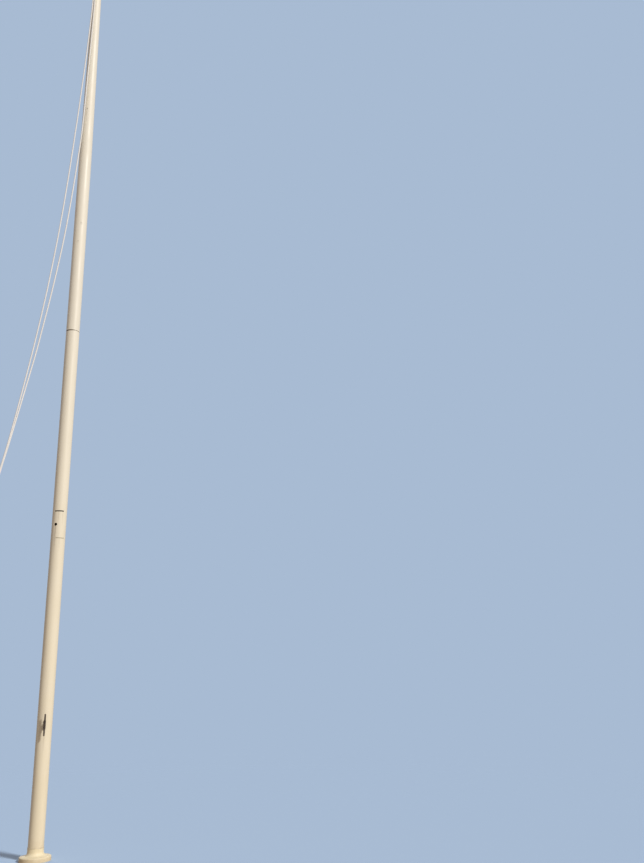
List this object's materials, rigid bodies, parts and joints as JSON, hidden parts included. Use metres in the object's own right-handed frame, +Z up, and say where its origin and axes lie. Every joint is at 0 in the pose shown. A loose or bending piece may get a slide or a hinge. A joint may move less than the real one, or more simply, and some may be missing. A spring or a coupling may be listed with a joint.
{
  "type": "flagpole",
  "caption": "Ground-set round tapered metal flagpole in spliced sections, with a spun ground collar, rope cleat, halyard with snap hooks, sheave truck and ball finial.",
  "frame": {"origin": "on the pole's axis at ground level, in the plane of the lower section's cut end", "axes": "+Z up along the pole, -Y the side that the cleat faces, +X to the right of someone who faces the cleat"},
  "size_m": [0.8883, 0.306, 12.4698],
  "materials": {
    "pole_paint": "weathered cream enamel on aluminium tube",
    "collar_paint": "cream enamel on spun aluminium",
    "sealant": "aged sealant",
    "bare_tube": "mill finish, dulled",
    "cleat_cast": "dark weathered casting",
    "screw_steel": "dull steel",
    "truck_cast": "sand-cast, weathered",
    "sheave_metal": "turned",
    "pin_steel": "satin stainless",
    "ball_metal": "gold-anodised spun shell",
    "rope": "braided white polyester",
    "whipping_twine": "waxed whipping twine",
    "snap_bronze": "cast bronze, dulled"
  },
  "bodies": {
    "root": {"pole_lower_section": "pole_paint", "pole_upper_section": "pole_paint", "splice_sleeve": "bare_tube", "flash_collar": "collar_paint", "collar_sealant": "sealant", "cleat": "cleat_cast", "cleat_screws": "screw_steel", "truck_cap": "truck_cast", "truck_set_screws": "screw_steel", "sheave": "sheave_metal", "sheave_pin": "pin_steel", "sheave_cotter": "pin_steel", "finial_rod": "pin_steel", "finial_locknut": "pin_steel", "ball_socket": "ball_metal", "ball_finial": "ball_metal", "halyard_over_sheave": "rope", "halyard_outer_fall": "rope", "halyard_inner_fall": "rope", "outer_whipping": "whipping_twine", "inner_whipping": "whipping_twine", "outer_eye": "rope", "inner_eye": "rope", "outer_swivel": "snap_bronze", "inner_swivel": "snap_bronze", "outer_snap": "snap_bronze", "inner_snap": "snap_bronze", "outer_gate": "snap_bronze", "inner_gate": "snap_bronze"}
  },
  "joints": []
}
